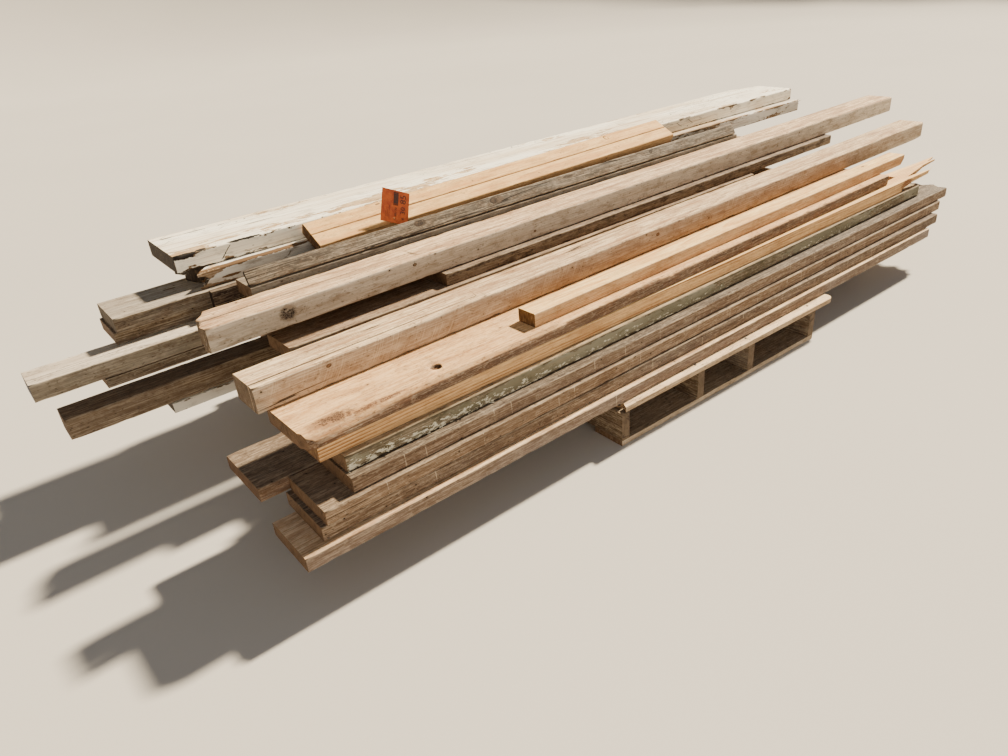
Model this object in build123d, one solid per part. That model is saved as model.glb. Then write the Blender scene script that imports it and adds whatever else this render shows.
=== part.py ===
from build123d import *
from math import atan2, cos, degrees, radians, sin
import os

os.makedirs("parts", exist_ok=True)

# The stack lies along X on a pallet, its open side faces -Y and +Z is up.
# Starts and fronts are measured from the left near corner of the pallet, in mm.
# A turn is the small angle, in degrees, by which a piece lies off the X direction.

# Pallet
runner_height = 89
runner_width = 29
runner_length = 1219
runner_2_start = 325
runner_3_start = 571
runner_4_start = 908
bottom_board_thickness = 17.5
bottom_board_width = 110
deck_board_thickness = 17
deck_board_width = 105
deck_board_length = 1045
deck_board_count = 7
deck_corner_radius = 24
deck_break_depth = 26

# Section sizes that several pieces share
plank_thickness = 38
thick_plank_thickness = 42
plank_width = 182
edge_radius = 3
worn_edge_radius = 4
batten_edge_radius = 5
row_gap = 3

# Front column, from the lowest plank up
front_1_start = -941
front_1_length = 2741
front_1_front = 8
front_1_width = 171
front_1_turn = 0.83
front_2_start = -885
front_2_length = 2761
front_2_front = 31
front_2_turn = 0.60
front_3_start = -871
front_3_length = 2800
front_3_front = 26
front_3_turn = 1.15
front_4_start = -791
front_4_length = 2796
front_4_front = 41
front_4_width = 190
front_4_turn = 1.05
front_4_tear = 46
green_start = -785
green_length = 2604
green_front = 69
green_turn = 1.28
tan_start = -835
tan_length = 2521
tan_front = 87
tan_width = 105
tan_turn = 1.05
splinter_long = 420
splinter_second = 389
splinter_short = 217
splinter_root = 82
splinter_thickness = 16
broken_start = -846
broken_length = 2360
broken_bite = 26
split_gap = 1
waney_start = -862
waney_length = 2477
waney_front = 74
waney_turn = 1.89
wane_height = 29
wane_depth = 26
wane_corner = 34
knot_hole_from_end = 375
knot_hole_from_front = 52
knot_hole_radius = 15
knot_hole_depth = 8
short_start = -187
short_length = 1982
short_front = 127
short_width = 64
short_turn = 1.95
short_bevel = 24

# Plank behind the front column, in its third layer
second_row_start = -942
second_row_length = 2467
second_row_width = 190

# Two beams and the planks under the rear one
beam_height = 67
front_beam_start = -893
front_beam_length = 3146
front_beam_front = 237
front_beam_width = 108
front_beam_turn = 2.10
front_beam_bevel = 60
front_beam_bevel_rise = 7
check_length = 640
check_width = 6
check_depth = 24
end_crack_width = 3
end_crack_depth = 60
inner_start = -700
inner_length = 2050
inner_front = 504
inner_width = 140
inner_turn = 1.89
dark_start = -180
dark_length = 2135
dark_front = 537
dark_width = 118
rear_beam_start = -886
rear_beam_length = 3426
rear_beam_front = 541
rear_beam_width = 125
rear_beam_turn = 1.85
rear_beam_break = 46

# White planks at the back
white_thickness = 49
white_width = 238
upper_white_start = -827
upper_white_length = 2925
upper_white_front = 885
upper_white_taper = 58
upper_white_cut = 190
lower_white_start = -797
lower_white_length = 2920
lower_white_front = 846
lower_white_tear = 62
lower_white_right_tear = 40
hollow_length = 40
hollow_reach = 70
hollow_wall = 11
back_turn = 0.70

# Grey board, leaning batten and the two new battens
grey_start = -700
grey_length = 2170
grey_front = 697
grey_width = 104
grey_turn = 1.49
grey_above_beam = 9
batten_width = 54
batten_thickness = 37
batten_start = -447
batten_length = 1563
batten_foot = 791
batten_lean = 27
batten_gap = 0.4
leaning_start = -700
leaning_length = 2160
leaning_width = 44
leaning_thickness = 12
leaning_angle = 32
leaning_foot_inset = 10

# Pieces that stick out on the left
left_plank_start = -1029
left_plank_length = 1900
left_plank_front = 826
left_plank_width = 163
left_plank_thickness = 43
left_thin_start = -1036
left_thin_length = 1800
left_thin_inset = 12
left_thin_thickness = 33
left_thin_width = 150
left_beam_start = -1264
left_beam_length = 2300
left_beam_front = 762
left_beam_width = 103
left_beam_height = 50
left_strip_start = -1100
left_strip_length = 1900
left_strip_thickness = 26
left_strip_width = 90
low_beam_start = -1222
low_beam_length = 2300
low_beam_front = 772
low_beam_width = 92
low_beam_height = 62
low_white_start = -965
low_white_length = 1700
low_white_thickness = 30
low_white_width = 85
left_turn = 1.06

# Dark strip that stands on edge between the grey board and the left plank
dark_strip_start = -774
dark_strip_length = 900
dark_strip_width = 22

# Lot tag
tag_width = 100
tag_height = 100
tag_thickness = 1
tag_hole_radius = 3.5
tag_hole_height = 13
tag_turn = 7.8
tag_tip = 25.6
tag_lean = 16.1
tag_along = 305
tag_drop = 23
tag_clearance = 0.4

# Hidden planks in the middle of the stack
hidden_start = -560
hidden_length = 2150
hidden_back_count = 4
hidden_back_front = 886
hidden_back_width = 225
hidden_filler_width = 125
hidden_beam_front = 735
hidden_beam_width = 68
spacer_thickness = 48
spacer_length = 1300
spacer_inset = 13

# Heights of the layers, each on the one below
deck_level = bottom_board_thickness + runner_height + deck_board_thickness
level_1 = deck_level + plank_thickness
level_2 = level_1 + plank_thickness
level_3 = level_2 + plank_thickness
level_4 = level_3 + plank_thickness
level_5 = level_4 + thick_plank_thickness
level_6 = level_5 + thick_plank_thickness
level_7 = level_6 + plank_thickness
dark_top = level_7 + plank_thickness
rear_beam_top = dark_top + beam_height
low_white_top = level_2 + low_white_thickness
low_beam_top = low_white_top + low_beam_height
left_strip_bottom = low_beam_top + spacer_thickness
left_beam_bottom = left_strip_bottom + left_strip_thickness
left_beam_top = left_beam_bottom + left_beam_height
left_thin_top = left_beam_top + left_thin_thickness
left_plank_top = left_thin_top + left_plank_thickness
lower_white_top = left_plank_top + white_thickness
upper_white_top = lower_white_top + white_thickness
grey_top = rear_beam_top + grey_above_beam
grey_bottom = grey_top - plank_thickness

# The centre of the bottom boards is the origin
runner_span = runner_4_start + runner_width
centre_x = runner_span / 2
centre_y = runner_length / 2


def at(start, front, height, turn):
    """Frame of a piece, from its left front lower corner and its turn."""
    return Pos(start - centre_x, front - centre_y, height) * Rot(0, 0, turn)


def plank(length, width, thickness, radius=edge_radius):
    """Sawn piece with eased edges, its left front lower corner at the origin."""
    section = Plane.YZ * Pos(width / 2, thickness / 2) * RectangleRounded(width, thickness, radius)
    return extrude(section, length)


def upright_prism(points, height):
    """Prism over an outline drawn in plan."""
    face = make_face(Polyline(*points, close=True))
    return extrude(face, height, dir=(0, 0, 1))


def side_prism(points, width):
    """Prism over an outline drawn in X and Z, running from the front to the back."""
    corners = [(x, 0, z) for x, z in points]
    face = make_face(Polyline(*corners, close=True))
    return extrude(face, width, dir=(0, 1, 0))


def torn(piece, end, into, width, thickness, steps):
    """Take a ragged bite out of one end. The steps are fractions of it, and it is negative on the right."""
    outline = [(end + into * step, width * i / (len(steps) - 1)) for i, step in enumerate(steps)]
    outside = end - into
    low = outline[0][1] - 1
    high = outline[-1][1] + 1
    points = [(outside, low), (outline[0][0], low)] + outline + [(outline[-1][0], high), (outside, high)]
    return piece - Pos(0, 0, -1) * upright_prism(points, thickness + 2)


def tapered_groove(length, width, depth):
    """Drying check, a groove that is widest at the origin and closes along +X."""
    mouth = make_face(Plane.YZ * Polyline((-width / 2, 1), (width / 2, 1), (0, -depth), close=True))
    tail = make_face(Plane.YZ * Polyline((-width / 5, 1), (width / 5, 1), (0, -depth / 4), close=True))
    return loft([mouth, Pos(length, 0, 0) * tail])


def runners():
    starts = [0, runner_2_start, runner_3_start, runner_4_start]
    side = Plane.XZ * Pos(runner_width / 2, runner_height / 2) * Rectangle(runner_width, runner_height)
    runner = extrude(side, -runner_length)
    return [at(start, 0, bottom_board_thickness, 0) * runner for start in starts]


def bottom_boards():
    board = plank(runner_span, bottom_board_width, bottom_board_thickness, 2)
    spacing = (runner_length - bottom_board_width) / 2
    return [at(0, spacing * i, 0, 0) * board for i in range(3)]


def deck_boards():
    board = plank(deck_board_length, deck_board_width, deck_board_thickness, 2)
    spacing = (runner_length - deck_board_width) / (deck_board_count - 1)
    height = bottom_board_thickness + runner_height
    steps = (0.55, 1, 0.6, 0.75, 0.2, 0)
    near = torn(board, 0, deck_break_depth, deck_board_width, deck_board_thickness, steps)
    through = 3 * deck_board_thickness
    block = Box(deck_corner_radius, deck_corner_radius, through, align=(Align.MAX, Align.MIN, Align.CENTER))
    round_off = Pos(-deck_corner_radius, deck_corner_radius, 0) * Cylinder(deck_corner_radius, through)
    near -= Pos(deck_board_length, 0, 0) * (block - round_off)
    rest = [at(0, spacing * i, height, 0) * board for i in range(1, deck_board_count)]
    return [at(0, 0, height, 0) * near] + rest


def splintered_plank():
    """Plank whose right end has split into long blades that thin to a point, one of them forked."""
    blank = plank(tan_length + splinter_long, tan_width, thick_plank_thickness)
    end = tan_length
    fork = end + splinter_root
    plan = [
        (0, 0),
        (end + splinter_short, tan_width * 0.01),
        (end + splinter_short - 3, tan_width * 0.04),
        (end + splinter_short * 0.8, tan_width * 0.09),
        (fork, tan_width * 0.2),
        (end + splinter_long * 0.43, tan_width * 0.34),
        (end + splinter_long * 0.66, tan_width * 0.5),
        (end + splinter_second, tan_width * 0.54),
        (end + splinter_second - 3, tan_width * 0.58),
        (end + splinter_long * 0.81, tan_width * 0.63),
        (end + splinter_long, tan_width * 0.75),
        (end + splinter_long - 5, tan_width * 0.79),
        (end + splinter_long * 0.72, tan_width * 0.83),
        (end + splinter_long * 0.33, tan_width * 0.94),
        (end, tan_width),
        (0, tan_width),
    ]
    top = thick_plank_thickness
    thin = top - splinter_thickness
    side = [
        (0, 0),
        (end + 4, 0),
        (end + 12, top * 0.3),
        (fork, thin - 4),
        (end + splinter_long, top - 4),
        (end + splinter_long, top + 1),
        (0, top + 1),
    ]
    return blank & upright_prism(plan, top) & side_prism(side, tan_width)


def waney_plank():
    """Plank that kept the curve of the tree along its front edge, with a knot hole in it."""
    board = plank(waney_length, plank_width, plank_thickness)
    stations = (0, 0.05, 0.11, 0.17, 0.26, 0.36, 0.48, 0.62, 0.8, 1)
    sizes = (0.9, 1, 0.62, 0.42, 0.5, 0.2, 0.36, 0.14, 0.26, 0.08)
    sections = []
    for station, size in zip(stations, sizes):
        x = waney_length * station
        low = plank_thickness - wane_height * size
        back = wane_depth * size
        corners = [(x, -1, low), (x, back, plank_thickness + 1), (x, -1, plank_thickness + 1)]
        sections.append(make_face(Polyline(*corners, close=True)))
    wane = loft(sections, ruled=True)
    top_down = (Align.CENTER, Align.CENTER, Align.MAX)
    hole = Cone(knot_hole_radius * 0.7, knot_hole_radius, knot_hole_depth, align=top_down)
    corner = [(-1, -1), (wane_corner, -1), (wane_corner * 0.3, wane_corner * 0.35), (-1, wane_corner)]
    board -= Pos(0, 0, -1) * upright_prism(corner, plank_thickness + 2)
    return board - wane - Pos(knot_hole_from_end, knot_hole_from_front, plank_thickness) * hole


def short_board():
    """Narrow board, the underside of its right end sawn off at a slant."""
    board = plank(short_length, short_width, plank_thickness)
    right = short_length + 1
    cut = [(right - short_bevel, -1), (right, plank_thickness * 0.6), (right, -1)]
    return board - Pos(0, -1, 0) * side_prism(cut, short_width + 2)


def front_timber():
    """Beam with a bevelled right end, a crack in its left end and a long check in its top."""
    beam = plank(front_beam_length, front_beam_width, beam_height, worn_edge_radius)
    end = front_beam_length
    under = [(end - front_beam_bevel, -1), (end + 1, front_beam_bevel_rise), (end + 1, -1)]
    bevel = Pos(0, -1, 0) * side_prism(under, front_beam_width + 2)
    groove = tapered_groove(check_length, check_width, check_depth)
    check = Pos(-1, front_beam_width * 0.2, beam_height) * groove
    crack = Pos(-1, front_beam_width * 0.2 - end_crack_width / 2, -1) * Box(
        end_crack_depth, end_crack_width, beam_height + 2, align=(Align.MIN, Align.MIN, Align.MIN)
    )
    return beam - bevel - check - crack


def rear_timber():
    """The longest beam. A wedge has broken off the back of its left end."""
    beam = plank(rear_beam_length, rear_beam_width, beam_height, worn_edge_radius)
    beam = torn(beam, 0, rear_beam_break, rear_beam_width, beam_height, (0.12, 0, 0.3, 0.2, 0.75, 1))
    groove = tapered_groove(check_length, check_width, check_depth)
    return beam - Pos(-1, rear_beam_width * 0.45, beam_height) * groove


def upper_white_plank():
    """Thick plank, its right end cut off askew."""
    board = plank(upper_white_length, white_width, white_thickness, worn_edge_radius)
    right = upper_white_length + 1
    back = white_width + 1
    cut = [(right - upper_white_cut, back), (right, white_width - upper_white_taper), (right, back)]
    return board - Pos(0, 0, -1) * upright_prism(cut, white_thickness + 2)


def lower_white_plank():
    """Thick plank with a hollow in its front left corner and ragged ends."""
    board = plank(lower_white_length, white_width, white_thickness, worn_edge_radius)
    left_steps = (0.15, 0.8, 0.3, 0.1, 0.35, 0, 0.2)
    board = torn(board, 0, lower_white_tear, white_width, white_thickness, left_steps)
    right_steps = (0.4, 1, 0.2, 0.6, 0)
    end = lower_white_length
    board = torn(board, end, -lower_white_right_tear, white_width, white_thickness, right_steps)
    roof = white_thickness - hollow_wall
    outline = [
        (-1, hollow_wall * 0.7),
        (hollow_length * 0.55, hollow_wall * 0.6),
        (hollow_length * 0.8, hollow_wall * 1.5),
        (hollow_length, hollow_wall * 2.3),
        (hollow_length * 0.75, roof - 3),
        (hollow_length * 0.3, roof),
        (-1, roof - 2),
    ]
    return board - Pos(0, -1, 0) * side_prism(outline, hollow_reach + 1)


def batten_frame():
    """Frame of the leaning pair. It climbs so that its far end meets the upper white plank."""
    lean = radians(batten_lean)
    turn = radians(back_turn)
    edge_rise = (batten_start + batten_length - upper_white_start) * sin(turn) / cos(turn)
    edge_at_end = upper_white_front + edge_rise
    foot_at_end = batten_foot + batten_length * sin(turn)
    reach = (edge_at_end - foot_at_end) * cos(turn)
    eased = sin(lean) + cos(lean) - 1
    foot_height = grey_top - batten_edge_radius * eased
    edge_height = upper_white_top - worn_edge_radius * eased / cos(lean)
    rise = edge_height - foot_height - reach * sin(lean) / cos(lean)
    climb = degrees(atan2(rise, batten_length))
    return at(batten_start, batten_foot, foot_height, back_turn) * Rot(0, -climb, 0) * Rot(batten_lean, 0, 0)


def leaning_batten():
    """Thin grey batten that stands on its lower edge and tips back."""
    batten = plank(leaning_length, leaning_thickness, leaning_width, 2)
    frame = at(leaning_start, grey_front + leaning_foot_inset, grey_top, grey_turn)
    return frame * Rot(-leaning_angle, 0, 0) * Pos(0, -leaning_thickness, 0) * batten


def lot_tag():
    """Card with a punched hole. It leans back against the rounded top arris of the front batten."""
    card = Plane.XZ * Pos(-tag_width / 2, tag_height / 2) * Rectangle(tag_width, tag_height)
    plate = extrude(card, tag_thickness)
    punch = Rot(90, 0, 0) * Cylinder(tag_hole_radius, 4 * tag_thickness)
    plate -= Pos(-tag_width / 2, 0, tag_hole_height) * punch
    angle = radians(batten_lean + tag_lean)
    seat = batten_edge_radius * (sin(angle) + cos(angle) - 1) - tag_clearance
    corner = (batten_frame() * Pos(tag_along, 0, batten_thickness)).position
    frame = Pos(*corner) * Rot(0, 0, tag_turn) * Rot(-tag_lean, 0, 0) * Pos(0, seat, 0)
    return frame * Rot(0, tag_tip, 0) * Pos(0, 0, -tag_drop) * plate


def hidden_row(frame, start, first, thickness, count):
    """Hidden planks beside a front plank, in its frame. The first one lies at the given depth."""
    board = plank(hidden_length, plank_width, thickness)
    shift = hidden_start - start
    pitch = plank_width + row_gap
    return [frame * Pos(shift, first + row_gap + pitch * i, 0) * board for i in range(count)]


def hidden_planks():
    """Plain planks that fill the middle. Neighbouring layers go to different nodes."""
    odd = hidden_row(front_1_frame, front_1_start, front_1_width, plank_thickness, 5)
    even = hidden_row(front_2_frame, front_2_start, plank_width, plank_thickness, 5)
    behind = plank_width + row_gap + second_row_width
    odd += hidden_row(front_3_frame, front_3_start, behind, plank_thickness, 1)
    even += hidden_row(front_4_frame, front_4_start, front_4_width, plank_thickness, 2)
    odd += hidden_row(green_frame, green_start, plank_width, thick_plank_thickness, 2)
    even += hidden_row(tan_frame, tan_start, plank_width + split_gap, thick_plank_thickness, 2)
    odd += hidden_row(waney_frame, waney_start, plank_width, plank_thickness, 1)
    back_thickness = (left_beam_top - level_2) / hidden_back_count
    back = plank(hidden_length, hidden_back_width, back_thickness)
    for i in range(hidden_back_count):
        node = odd if i % 2 == 0 else even
        node.append(at(hidden_start, hidden_back_front, level_2 + back_thickness * i, left_turn) * back)
    beside = Pos(hidden_start - left_plank_start, left_plank_width + row_gap, 0)
    thin = plank(hidden_length, hidden_filler_width, left_thin_thickness)
    odd.append(at(left_plank_start, left_plank_front, left_beam_top, left_turn) * beside * thin)
    thick = plank(hidden_length, hidden_filler_width, left_plank_thickness)
    even.append(at(left_plank_start, left_plank_front, left_thin_top, left_turn) * beside * thick)
    spacer = plank(spacer_length, left_strip_width, spacer_thickness)
    even.append(at(hidden_start, low_beam_front + spacer_inset, low_beam_top, left_turn) * spacer)
    beam = plank(hidden_length, hidden_beam_width, grey_bottom - left_beam_top)
    even.append(at(hidden_start, hidden_beam_front, left_beam_top, grey_turn) * beam)
    return odd, even


def save(name, *solids):
    """Write one named node."""
    shape = Compound(list(solids)) if len(solids) > 1 else solids[0]
    export_step(shape, f"parts/{name}.step")


save("pallet_stringers", *runners())
save("pallet_bottom_boards", *bottom_boards())
save("pallet_deck_boards", *deck_boards())

# Front column
front_1_frame = at(front_1_start, front_1_front, deck_level, front_1_turn)
front_2_frame = at(front_2_start, front_2_front, level_1, front_2_turn)
front_3_frame = at(front_3_start, front_3_front, level_2, front_3_turn)
front_4_frame = at(front_4_start, front_4_front, level_3, front_4_turn)
green_frame = at(green_start, green_front, level_4, green_turn)
tan_frame = at(tan_start, tan_front, level_5, tan_turn)
waney_frame = at(waney_start, waney_front, level_6, waney_turn)
save("front_plank_1", front_1_frame * plank(front_1_length, front_1_width, plank_thickness))
save("front_plank_2", front_2_frame * plank(front_2_length, plank_width, plank_thickness, worn_edge_radius))
save("front_plank_3", front_3_frame * plank(front_3_length, plank_width, plank_thickness, worn_edge_radius))
fourth = plank(front_4_length, front_4_width, plank_thickness)
fourth_steps = (0.3, 0.5, 0, 0.7, 0.35, 0.9, 0.2)
fourth = torn(fourth, front_4_length, -front_4_tear, front_4_width, plank_thickness, fourth_steps)
save("front_plank_4", front_4_frame * fourth)
save("green_plank", green_frame * plank(green_length, plank_width, thick_plank_thickness))
save("tan_plank", tan_frame * splintered_plank())
broken_width = plank_width - tan_width
broken = plank(broken_length, broken_width, thick_plank_thickness)
broken = torn(broken, 0, broken_bite, broken_width, thick_plank_thickness, (0.1, 0.8, 0.4, 1, 0.2))
save("broken_plank", tan_frame * Pos(broken_start - tan_start, tan_width + split_gap, 0) * broken)
save("waney_plank", waney_frame * waney_plank())
save("short_yellow_board", at(short_start, short_front, level_7, short_turn) * short_board())

# Middle of the stack
second_row = plank(second_row_length, second_row_width, plank_thickness)
second_row_place = Pos(second_row_start - front_3_start, plank_width + row_gap, 0)
save("second_row_plank", front_3_frame * second_row_place * second_row)
save("front_timber", at(front_beam_start, front_beam_front, level_7, front_beam_turn) * front_timber())
inner = plank(inner_length, inner_width, plank_thickness)
save("inner_plank", at(inner_start, inner_front, level_6, inner_turn) * inner)
dark = plank(dark_length, dark_width, plank_thickness)
save("dark_plank", at(dark_start, dark_front, level_7, rear_beam_turn) * dark)
save("rear_timber", at(rear_beam_start, rear_beam_front, dark_top, rear_beam_turn) * rear_timber())

# Back of the stack
upper_frame = at(upper_white_start, upper_white_front, lower_white_top, back_turn)
save("upper_white_plank", upper_frame * upper_white_plank())
lower_frame = at(lower_white_start, lower_white_front, left_plank_top, back_turn)
save("lower_white_plank", lower_frame * lower_white_plank())
grey = plank(grey_length, grey_width, plank_thickness)
save("grey_board", at(grey_start, grey_front, grey_bottom, grey_turn) * grey)
save("leaning_batten", leaning_batten())
new_batten = plank(batten_length, batten_width, batten_thickness, batten_edge_radius)
save("new_batten_front", batten_frame() * new_batten)
save("new_batten_back", batten_frame() * Pos(0, batten_width + batten_gap, 0) * new_batten)
save("lot_tag", lot_tag())

# Pieces that stick out on the left
left = plank(left_plank_length, left_plank_width, left_plank_thickness, worn_edge_radius)
save("left_plank", at(left_plank_start, left_plank_front, left_thin_top, left_turn) * left)
left_thin = plank(left_thin_length, left_thin_width, left_thin_thickness)
left_thin_front = left_plank_front + left_thin_inset
save("left_thin_plank", at(left_thin_start, left_thin_front, left_beam_top, left_turn) * left_thin)
left_beam = plank(left_beam_length, left_beam_width, left_beam_height, worn_edge_radius)
save("left_beam", at(left_beam_start, left_beam_front, left_beam_bottom, left_turn) * left_beam)
strip = plank(left_strip_length, left_strip_width, left_strip_thickness)
save("left_thin_strip", at(left_strip_start, left_beam_front, left_strip_bottom, left_turn) * strip)
low_beam = plank(low_beam_length, low_beam_width, low_beam_height, worn_edge_radius)
save("low_beam", at(low_beam_start, low_beam_front, low_white_top, left_turn) * low_beam)
low_white = plank(low_white_length, low_white_width, low_white_thickness)
save("low_white_board", at(low_white_start, low_beam_front, level_2, left_turn) * low_white)

dark_strip = plank(dark_strip_length, dark_strip_width, left_plank_top - left_beam_top, 2)
dark_strip_place = Pos(dark_strip_start - left_plank_start, -dark_strip_width, 0)
dark_strip_frame = at(left_plank_start, left_plank_front, left_beam_top, left_turn)
save("dark_strip", dark_strip_frame * dark_strip_place * dark_strip)

odd_layers, even_layers = hidden_planks()
save("hidden_planks_odd", *odd_layers)
save("hidden_planks_even", *even_layers)
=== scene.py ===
import bpy
import bmesh
import math
import numpy as np
from mathutils import Matrix, Vector, noise as roughness


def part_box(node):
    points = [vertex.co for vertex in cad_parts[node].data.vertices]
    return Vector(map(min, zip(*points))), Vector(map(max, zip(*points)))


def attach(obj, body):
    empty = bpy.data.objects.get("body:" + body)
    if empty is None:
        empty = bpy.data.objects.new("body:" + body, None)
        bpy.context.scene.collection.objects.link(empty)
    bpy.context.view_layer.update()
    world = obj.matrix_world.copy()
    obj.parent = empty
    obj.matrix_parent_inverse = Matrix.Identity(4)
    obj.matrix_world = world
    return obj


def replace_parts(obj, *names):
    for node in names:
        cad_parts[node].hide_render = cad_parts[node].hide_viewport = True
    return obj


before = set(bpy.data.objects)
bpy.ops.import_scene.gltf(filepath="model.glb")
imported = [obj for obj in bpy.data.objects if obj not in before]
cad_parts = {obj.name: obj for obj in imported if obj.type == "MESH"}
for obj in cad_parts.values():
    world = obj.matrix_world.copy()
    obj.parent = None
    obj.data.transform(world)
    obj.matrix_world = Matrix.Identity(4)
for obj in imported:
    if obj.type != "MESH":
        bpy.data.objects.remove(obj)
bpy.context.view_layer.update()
print("frame loaded", len(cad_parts), "nodes")


class Val:
    # one number socket, so that a mask can be written as plain Python
    def __init__(self, web, socket):
        self.web = web
        self.socket = socket

    def __add__(self, other): return self.web.math("ADD", self, other)
    def __radd__(self, other): return self.web.math("ADD", other, self)
    def __sub__(self, other): return self.web.math("SUBTRACT", self, other)
    def __rsub__(self, other): return self.web.math("SUBTRACT", other, self)
    def __mul__(self, other): return self.web.math("MULTIPLY", self, other)
    def __rmul__(self, other): return self.web.math("MULTIPLY", other, self)
    def __truediv__(self, other): return self.web.math("DIVIDE", self, other)


class NodeTree:
    # any node is added by its type, its settings, and the values or links of its sockets
    def __init__(self, tree):
        self.tree = tree

    def node(self, kind, settings={}, inputs={}):
        made = self.tree.nodes.new(kind)
        for key, value in settings.items():
            setattr(made, key, value)
        for key, value in inputs.items():
            value = value.socket if isinstance(value, Val) else value
            if isinstance(value, bpy.types.NodeSocket):
                self.tree.links.new(value, made.inputs[key])
            else:
                made.inputs[key].default_value = value
        return made


class Web(NodeTree):
    # the node tree of one material
    def __init__(self, name):
        self.material = bpy.data.materials.new(name)
        self.material.use_nodes = True
        super().__init__(self.material.node_tree)
        self.tree.nodes.clear()

    def math(self, operation, a, b=0.0):
        return Val(self, self.node("ShaderNodeMath", {"operation": operation}, {0: a, 1: b}).outputs[0])

    def low(self, a, b): return self.math("MINIMUM", a, b)
    def high(self, a, b): return self.math("MAXIMUM", a, b)
    def size(self, a): return self.math("ABSOLUTE", a)
    def reach(self, a, b): return self.math("SQRT", a * a + b * b)

    def step(self, a, start, end):
        # smooth 0 to 1 while a goes from start to end
        made = self.node("ShaderNodeMapRange", {"interpolation_type": "SMOOTHSTEP"},
                         {"Value": a, "From Min": start, "From Max": end})
        return Val(self, made.outputs[0])

    def vector(self, x, y, z):
        return self.node("ShaderNodeCombineXYZ", {}, {0: x, 1: y, 2: z}).outputs[0]

    def objectPlace(self):
        return self.node("ShaderNodeTexCoord").outputs["Object"]

    def noise(self, vector, detail, rough, scale=1.0):
        made = self.node("ShaderNodeTexNoise", {"noise_dimensions": "3D"},
                         {"Vector": vector, "Scale": scale, "Detail": detail, "Roughness": rough})
        return Val(self, made.outputs[0])

    def chance(self, number):
        made = self.node("ShaderNodeTexWhiteNoise", {"noise_dimensions": "1D"}, {"W": number})
        return Val(self, made.outputs["Value"])

    def voronoi(self, vector, feature):
        return self.node("ShaderNodeTexVoronoi", {"feature": feature, "voronoi_dimensions": "2D"},
                         {"Vector": vector, "Scale": 1.0})

    def cells(self, vector):
        # distance to the nearest cell's point, and that cell's own random number
        made = self.voronoi(vector, "F1")
        parts = self.node("ShaderNodeSeparateColor", {}, {0: made.outputs["Color"]})
        return Val(self, made.outputs["Distance"]), Val(self, parts.outputs[0])

    def cracks(self, vector):
        # distance to the nearest line between two cells
        return Val(self, self.voronoi(vector, "DISTANCE_TO_EDGE").outputs["Distance"])

    def mix(self, factor, a, b):
        settings = {"data_type": "RGBA", "clamp_factor": True}
        return self.node("ShaderNodeMix", settings, {0: factor, 6: a, 7: b}).outputs[2]

    def blend(self, factor, a, b):
        # the same for two numbers
        return a + (b - a) * factor

    def finish(self, colour, rough, height, depth=0.001):
        bump = self.node("ShaderNodeBump", {}, {"Strength": 1.0, "Distance": depth, "Height": height})
        shader = self.node("ShaderNodeBsdfPrincipled", {},
                           {"Base Color": colour, "Roughness": rough, "Normal": bump.outputs[0],
                            "Specular IOR Level": 0.25})
        self.node("ShaderNodeOutputMaterial", {}, {0: shader.outputs[0]})
        return self.material


def tone(value):
    # screen colours in hex, also inside tuples and dictionaries, as the shader wants them
    if isinstance(value, dict):
        return {key: tone(part) for key, part in value.items()}
    if isinstance(value, tuple):
        return tuple(tone(part) for part in value)
    if not isinstance(value, str):
        return value
    parts = [int(value[i:i + 2], 16) / 255.0 for i in (0, 2, 4)]
    return (*(c / 12.92 if c <= 0.04045 else ((c + 0.055) / 1.055) ** 2.4 for c in parts), 1.0)


def dress(node, material):
    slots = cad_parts[node].data.materials
    slots.clear()
    slots.append(material)


def addObject(name, data):
    made = bpy.data.objects.new(name, data)
    bpy.context.scene.collection.objects.link(made)
    return made


def asDrawn(made):
    # the mesh that an object shows, as a plain one
    bpy.context.view_layer.update()
    return bpy.data.meshes.new_from_object(made.evaluated_get(bpy.context.evaluated_depsgraph_get()))


def asMesh(name, shape):
    mesh = bpy.data.meshes.new(name)
    shape.to_mesh(mesh)
    shape.free()
    return mesh


def addPiece(name, mesh):
    # a finished mesh that rides with the stack
    piece = addObject(name, mesh)
    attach(piece, "root")
    return piece


def bisect(shape, point, axis, nearness):
    everything = shape.verts[:] + shape.edges[:] + shape.faces[:]
    bmesh.ops.bisect_plane(shape, geom=everything, dist=nearness, plane_co=point, plane_no=axis)


def boardFrame(node, along=None):
    # the board's own axes from its largest faces, and its low corner and size along them
    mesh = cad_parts[node].data
    corners = np.array([vert.co for vert in mesh.vertices])
    if along is None:
        faces = {}
        for face in mesh.polygons:
            n = face.normal
            if abs(n.x) > 0.7:  # an end face
                continue
            if (n.z, n.y) < (0, 0):
                n = -n
            key = (round(n.x, 2), round(n.y, 2), round(n.z, 2))
            faces[key] = faces.get(key, Vector()) + n * face.area
        ranked = [total.normalized() for total in sorted(faces.values(), key=lambda total: -total.length)]
        first = ranked[0]
        second = next(way for way in ranked if abs(way.dot(first)) < 0.2)
        up, across = (first, second) if abs(first.z) > abs(second.z) else (second, first)
        up = up if up.z > 0 else -up
        across = across if across.y > 0 else -across
        along = across.cross(up).normalized()
    else:
        along = Vector(along)
        up = Vector((0, 0, 1))
    across = up.cross(along).normalized()
    axes = np.array([along, across, up])
    local = corners @ axes.T
    low, high = local.min(axis=0), local.max(axis=0)
    turn = Matrix(axes.tolist()).transposed()
    return {"along": along, "across": across, "up": up, "corner": turn @ Vector(low), "turn": turn,
            "size": Vector(high - low)}


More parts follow.
